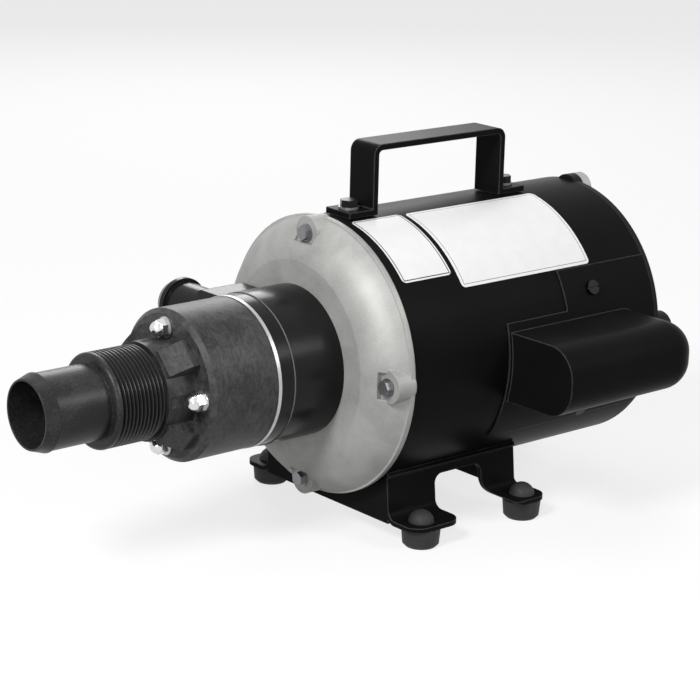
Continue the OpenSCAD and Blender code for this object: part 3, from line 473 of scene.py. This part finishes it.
class ShellPlateSettings(bpy.types.PropertyGroup):
    """Printed plates on the motor shell. Angles go up from the side that faces minus Y."""

    small_low: FloatProperty(name="Small plate low", description="Angle of its lower edge", default=41.6)
    small_high: FloatProperty(name="Small plate high", description="Angle of its upper edge", default=80.5)
    small_start: FloatProperty(name="Small plate start", description="Distance behind the front rim",
                               unit="LENGTH", default=7.3 * MM)
    small_end: FloatProperty(name="Small plate end", description="Distance behind the front rim",
                             unit="LENGTH", default=40.4 * MM)
    main_low: FloatProperty(name="Main plate low", description="Angle of its lower edge", default=35.0)
    main_high: FloatProperty(name="Main plate high", description="Angle of its upper edge", default=80.0)
    main_start: FloatProperty(name="Main plate start", description="Distance behind the front rim",
                              unit="LENGTH", default=43.6 * MM)
    main_end: FloatProperty(name="Main plate end", description="Distance behind the front rim",
                            unit="LENGTH", default=136.2 * MM)
    corner: FloatProperty(name="Corner", description="Radius of the plates' corners", unit="LENGTH",
                          default=2.5 * MM)
    thickness: FloatProperty(name="Thickness", description="Thickness of the film", unit="LENGTH",
                             default=0.25 * MM)


class StageSettings(bpy.types.PropertyGroup):
    """Camera, lamps and floor."""

    camera_place: FloatVectorProperty(name="Camera", description="Where the camera stands",
                                      subtype="TRANSLATION", default=(-0.5570, -0.8867, 0.3356))
    azimuth: FloatProperty(name="Azimuth", description="Turn of the camera about Z", default=-40.51)
    elevation: FloatProperty(name="Elevation", description="Height of the camera's view", default=16.12)
    roll: FloatProperty(name="Roll", description="Turn about the line of sight", default=1.43)
    lens: FloatProperty(name="Lens", description="Focal length on a 36 mm sensor", default=118.12)
    key_power: FloatProperty(name="Key", description="Power of the key lamp", unit="POWER", default=22.0)
    front_power: FloatProperty(name="Front", description="Power of the low front lamp", unit="POWER",
                               default=6.0)
    fill_power: FloatProperty(name="Fill", description="Power of the fill lamp", unit="POWER", default=10.0)
    top_power: FloatProperty(name="Top", description="Power of the top lamp", unit="POWER", default=5.0)
    rear_power: FloatProperty(name="Rear", description="Power of the rear lamp", unit="POWER", default=6.0)
    surround: FloatProperty(name="Surround", description="Level of the light from all round", default=0.15)
    floor_level: FloatProperty(name="Floor", description="Grey of the floor where it is seen", default=0.9)
    floor_bounce: FloatProperty(name="Floor bounce", description="Grey of the floor that lights the pump",
                                default=0.2)
    floor_white: FloatProperty(name="Floor white", description="Share of the seen floor that shadows leave",
                               default=0.75)


def dress(node, material):
    """Gives a CAD node one finish all over."""
    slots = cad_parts[node].data.materials
    slots.clear()
    slots.append(material)


def dress_all(nodes, material):
    for node in nodes:
        dress(node, material)


def add_piece(name, mesh, material):
    """Links a mesh as a piece that rides with the pump's fixed body."""
    mesh.materials.append(material)
    piece = bpy.data.objects.new(name, mesh)
    bpy.context.scene.collection.objects.link(piece)
    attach(piece, CAD_BODY)
    return piece


def mesh_from(name, points, faces, smooth=True):
    made = bmesh.new()
    corners = [made.verts.new(p) for p in points]
    for face in faces:
        made.faces.new([corners[i] for i in face])
    bmesh.ops.recalc_face_normals(made, faces=made.faces)
    mesh = bpy.data.meshes.new(name)
    made.to_mesh(mesh)
    made.free()
    for polygon in mesh.polygons:
        polygon.use_smooth = smooth
    return mesh


class PUMP_OT_pump_end(bpy.types.Operator):
    """Finishes of the inlet, chopper housing and pump body"""

    bl_idname = "pump.pump_end"
    bl_label = "Pump end"

    def execute(self, context):
        settings = context.scene.pump_finishes
        dress("chopper_housing", mottled_plastic(settings))
        dress_all(("pump_body", "impeller_cover"), gloss_plastic(settings))
        dress("cap_nuts", plain_metal("bright_chrome", shade(settings, "chrome"), 0.18, 200))
        stainless = plain_metal("stainless", shade(settings, "steel"), 0.3)
        dress_all(("nut_washers", "pump_studs", "chopper_plate", "chopper_blade", "chopper_nut"), stainless)
        dress("wear_plate", plain_metal("wear_plate_edge", shade(settings, "steel"), 0.36))
        dress("body_gasket", fibre_gasket(settings))
        return {"FINISHED"}


class PUMP_OT_pump_works(bpy.types.Operator):
    """Finishes of the impeller, seals and drive pieces"""

    bl_idname = "pump.pump_works"
    bl_label = "Pump works"

    def execute(self, context):
        settings = context.scene.pump_finishes
        dress_all(("impeller", "shaft_seal", "slinger"), rubber(settings))
        dress("impeller_hub", plain_metal("brass", shade(settings, "brass"), 0.3))
        dress("drive_key", plain_metal("key_steel", shade(settings, "zinc"), 0.4))
        return {"FINISHED"}


class PUMP_OT_motor_outside(bpy.types.Operator):
    """Finishes of the shell, end bells, capacitor cover, handle and base"""

    bl_idname = "pump.motor_outside"
    bl_label = "Motor outside"

    def execute(self, context):
        settings = context.scene.pump_finishes
        dress_all(("motor_shell", "capacitor_cover", "handle", "base"), enamel(settings))
        dress("front_end_bell", cast_aluminium(settings, "front_bell_casting"))
        rear_bell = cast_aluminium(settings, "rear_bell_casting", SHELL_END_X + settings.rear_paint)
        dress("rear_end_bell", rear_bell)
        zinc = plain_metal("dull_zinc", shade(settings, "zinc"), 0.42)
        dress_all(("through_bolts", "through_bolt_nuts", "handle_washers"), zinc)
        oxide = plain_metal("dark_oxide", shade(settings, "oxide"), 0.38)
        dress_all(("handle_bolts", "cover_screws"), oxide)
        dress("rubber_feet", rubber(settings))
        return {"FINISHED"}


class PUMP_OT_motor_works(bpy.types.Operator):
    """Finishes of the windings, rotor, bearings, switch and capacitor"""

    bl_idname = "pump.motor_works"
    bl_label = "Motor works"

    def execute(self, context):
        settings = context.scene.pump_finishes
        dress_all(("stator_core", "rotor_core"), laminations(settings))
        dress("stator_windings", varnished_copper(settings))
        ground = plain_metal("ground_steel", shade(settings, "steel"), 0.2, 1600, (0.1, 1.0, 1.0))
        bearings = ("front_bearing_outer", "front_bearing_inner", "front_bearing_balls",
                    "rear_bearing_outer", "rear_bearing_inner", "rear_bearing_balls")
        dress_all(bearings + ("motor_shaft",), ground)
        dress("wave_washer", plain_metal("spring_steel", shade(settings, "zinc"), 0.35))
        brown = moulded("phenolic", shade(settings, "phenolic"), 0.45)
        dress_all(("start_switch", "thermal_protector", "capacitor"), brown)
        dress("switch_actuator", moulded("nylon", shade(settings, "nylon"), 0.5))
        return {"FINISHED"}


class PUMP_OT_inlet_thread(bpy.types.Operator):
    """Pipe thread on the inlet, as one ridge that winds round it"""

    bl_idname = "pump.inlet_thread"
    bl_label = "Inlet thread"

    def execute(self, context):
        sizes = context.scene.pump_thread
        length = sizes.end_x - sizes.start_x - sizes.pitch
        count = int(sizes.steps * length / sizes.pitch)
        half_crest = sizes.crest_share / 2
        least_height = 0.02
        points = []
        for step in range(count + 1):
            angle = 2 * math.pi * step / sizes.steps
            middle = sizes.start_x + sizes.pitch * (0.5 + step / sizes.steps)
            turns_in = step / sizes.steps
            turns_left = (count - step) / sizes.steps
            height = min(1.0, turns_in / sizes.run_in, turns_left / sizes.run_out)
            crest = sizes.root_r + (sizes.crest_r - sizes.root_r) * max(height, least_height)
            outline = ((-0.5, sizes.root_r), (-half_crest, crest), (half_crest, crest), (0.5, sizes.root_r))
            for offset, radius in outline:
                across = Vector((0, radius * math.cos(angle), radius * math.sin(angle)))
                points.append(Vector((middle + offset * sizes.pitch, 0, 0)) + across)
        faces = []
        for step in range(count):
            for side in range(4):
                low = 4 * step + side
                high = 4 * step + (side + 1) % 4
                faces.append((low, high, high + 4, low + 4))
        faces.append((0, 1, 2, 3))
        faces.append(tuple(4 * count + i for i in range(4)))
        mesh = mesh_from("inlet_thread", points, faces, smooth=False)
        add_piece("inlet_thread", mesh, smooth_plastic(context.scene.pump_finishes))
        return {"FINISHED"}


def curved_plate(name, angles, stations, corner, thickness, rows=40, columns=40):
    """A film with rounded corners that lies on the shell between two angles and two stations."""
    low, high = (math.radians(a) * SHELL_R for a in angles)
    start, end = (RIM_X + s for s in stations)

    def inset(depth):
        if depth >= corner:
            return 0.0
        return corner - math.sqrt(max(0.0, corner ** 2 - (corner - depth) ** 2))

    def spread(count):
        return [0.5 - 0.5 * math.cos(math.pi * i / count) for i in range(count + 1)]

    points = []
    for radius in (SHELL_R + FILM_LIFT, SHELL_R + thickness):
        for part in spread(rows):
            arc = low + (high - low) * part
            cut = inset(min(arc - low, high - arc))
            angle = arc / SHELL_R
            for place in spread(columns):
                x = start + cut + (end - start - 2 * cut) * place
                points.append(Vector((x, -radius * math.cos(angle), radius * math.sin(angle))))
    layer = (rows + 1) * (columns + 1)

    def index(row, column, top):
        return top * layer + row * (columns + 1) + column

    faces = []
    for top in (0, 1):
        for row in range(rows):
            for column in range(columns):
                faces.append((index(row, column, top), index(row, column + 1, top),
                              index(row + 1, column + 1, top), index(row + 1, column, top)))
    border = [(0, c) for c in range(columns)] + [(r, columns) for r in range(rows)]
    border += [(rows, c) for c in range(columns, 0, -1)] + [(r, 0) for r in range(rows, 0, -1)]
    for here, there in zip(border, border[1:] + border[:1]):
        faces.append((index(*here, 0), index(*there, 0), index(*there, 1), index(*here, 1)))
    return mesh_from(name, points, faces)


def plate_film(name, settings, angles, stations, line):
    """White film with one thin printed line inside its edge and a little handling dirt."""
    finish = Finish(name, specular_ior_level=0.4)
    white = shade(settings, "plate_white")
    arc = finish.math("ARCTAN2", finish.axis("Z"), 0.0 - finish.axis("Y")) * SHELL_R
    low, high = (math.radians(a) * SHELL_R for a in angles)
    start, end = (RIM_X + s for s in stations)
    across = abs(arc - (low + high) / 2) - (high - low) / 2
    along = abs(finish.axis("X") - (start + end) / 2) - (end - start) / 2
    edge = finish.math("MAXIMUM", across, along) * -1.0
    printed = (edge > line[0]) * (edge < line[1])
    dirt = finish.noise(130, detail=4, roughness=0.6)
    film = finish.ramp(dirt, [(0.3, scaled(white, 0.95)), (0.7, white)])
    colour = finish.mix(printed, film, shade(settings, "ink"))
    return finish.give(Base_Color=colour, Roughness=0.32 + dirt * 0.15)


class PUMP_OT_shell_plates(bpy.types.Operator):
    """Bare printed plates on the motor shell"""

    bl_idname = "pump.shell_plates"
    bl_label = "Shell plates"

    def execute(self, context):
        sizes = context.scene.pump_plates
        settings = context.scene.pump_finishes
        plates = {
            "small_plate": ((sizes.small_low, sizes.small_high), (sizes.small_start, sizes.small_end),
                            SMALL_PLATE_LINE),
            "main_plate": ((sizes.main_low, sizes.main_high), (sizes.main_start, sizes.main_end),
                           MAIN_PLATE_LINE),
        }
        for name, (angles, stations, line) in plates.items():
            mesh = curved_plate(name, angles, stations, sizes.corner, sizes.thickness)
            film = plate_film(name + "_film", settings, angles, stations, line)
            add_piece(name, mesh, film)
        return {"FINISHED"}


def pale_ground(sizes):
    """Matt floor that shows white to the camera and to reflections, and keeps the shadow."""
    finish = Finish("pale_ground", roughness=0.9, specular_ior_level=0.1)
    seen = finish.seen_directly()
    finish.give(Base_Color=finish.mix(seen, grey(sizes.floor_bounce), grey(sizes.floor_level)))
    glow = finish.node("ShaderNodeEmission", {}, {"Color": opaque(grey(1.0)), "Strength": 1.0})
    matt = Value(finish, finish.shader.outputs[0])
    blend = finish.node("ShaderNodeMixShader", {}, {0: seen * sizes.floor_white, 1: matt, 2: glow})
    finish.feed(finish.tree.nodes["Material Output"].inputs["Surface"], blend)
    return finish.material


class PUMP_OT_stage(bpy.types.Operator):
    """Floor, soft lamps, white surround and the camera"""

    bl_idname = "pump.stage"
    bl_label = "Stage"

    def floor(self, sizes):
        signs = ((-1, -1), (1, -1), (1, 1), (-1, 1))
        corners = [Vector((x * FLOOR_HALF, y * FLOOR_HALF, FLOOR_Z)) for x, y in signs]
        mesh = mesh_from("floor", corners, [(0, 1, 2, 3)], smooth=False)
        mesh.materials.append(pale_ground(sizes))
        ground = bpy.data.objects.new("floor", mesh)
        bpy.context.scene.collection.objects.link(ground)

    def surround(self, level):
        world = bpy.data.worlds.new("surround")
        bpy.context.scene.world = world
        world.use_nodes = True
        sheet = Sheet(world.node_tree)
        background = sheet.tree.nodes["Background"]
        background.inputs["Color"].default_value = opaque(grey(1.0))
        sheet.feed(background.inputs["Strength"], level + sheet.seen_directly() * (1.0 - level))

    def lamp(self, name, place, size, power):
        light = bpy.data.lights.new(name, "AREA")
        light.shape = "RECTANGLE"
        light.size, light.size_y = size
        light.energy = power
        lamp = bpy.data.objects.new(name, light)
        lamp.location = place
        aim = Vector(LAMP_TARGET) - Vector(place)
        lamp.rotation_euler = aim.to_track_quat("-Z", "Y").to_euler()
        bpy.context.scene.collection.objects.link(lamp)

    def camera(self, sizes):
        turn, lift, roll = (math.radians(v) for v in (sizes.azimuth, sizes.elevation, sizes.roll))
        back = Vector((math.sin(turn) * math.cos(lift), -math.cos(turn) * math.cos(lift), math.sin(lift)))
        level = Vector((math.cos(turn), math.sin(turn), 0))
        upright = back.cross(level)
        right = level * math.cos(roll) + upright * math.sin(roll)
        up = upright * math.cos(roll) - level * math.sin(roll)
        data = bpy.data.cameras.new("camera")
        data.lens = sizes.lens
        data.sensor_width = SENSOR_WIDTH_MM
        data.clip_start = CLIP_START
        camera = bpy.data.objects.new("camera", data)
        axes = Matrix((right, up, back)).transposed().to_4x4()
        camera.matrix_world = Matrix.Translation(Vector(sizes.camera_place)) @ axes
        bpy.context.scene.collection.objects.link(camera)
        bpy.context.scene.camera = camera

    def execute(self, context):
        sizes = context.scene.pump_stage
        context.scene.view_settings.view_transform = "Standard"
        self.floor(sizes)
        self.surround(sizes.surround)
        for name, (place, size) in LAMPS.items():
            self.lamp(name, place, size, getattr(sizes, name + "_power"))
        self.camera(sizes)
        return {"FINISHED"}


class PUMP_PT_dressing(bpy.types.Panel):
    """Lists the dressing steps with their sizes and colours"""

    bl_idname = "PUMP_PT_dressing"
    bl_label = "Pump dressing"
    bl_space_type = "VIEW_3D"
    bl_region_type = "UI"
    bl_category = "Pump"

    def draw(self, context):
        layout = self.layout
        for operator in OPERATORS:
            layout.operator(operator.bl_idname)
        for holder in SETTINGS:
            group = getattr(context.scene, holder)
            for name in group.__annotations__:
                layout.prop(group, name)


SETTINGS = {
    "pump_finishes": PumpFinishSettings,
    "pump_thread": InletThreadSettings,
    "pump_plates": ShellPlateSettings,
    "pump_stage": StageSettings,
}
OPERATORS = (PUMP_OT_pump_end, PUMP_OT_pump_works, PUMP_OT_motor_outside, PUMP_OT_motor_works,
             PUMP_OT_inlet_thread, PUMP_OT_shell_plates, PUMP_OT_stage)


def register():
    for name, group in SETTINGS.items():
        bpy.utils.register_class(group)
        setattr(bpy.types.Scene, name, PointerProperty(type=group))
    for operator in OPERATORS:
        bpy.utils.register_class(operator)
    bpy.utils.register_class(PUMP_PT_dressing)


def unregister():
    bpy.utils.unregister_class(PUMP_PT_dressing)
    for operator in reversed(OPERATORS):
        bpy.utils.unregister_class(operator)
    for name, group in SETTINGS.items():
        delattr(bpy.types.Scene, name)
        bpy.utils.unregister_class(group)


def main():
    register()
    bpy.ops.pump.pump_end()
    bpy.ops.pump.pump_works()
    bpy.ops.pump.motor_outside()
    bpy.ops.pump.motor_works()
    bpy.ops.pump.inlet_thread()
    bpy.ops.pump.shell_plates()
    bpy.ops.pump.stage()


if __name__ == "__main__":
    main()
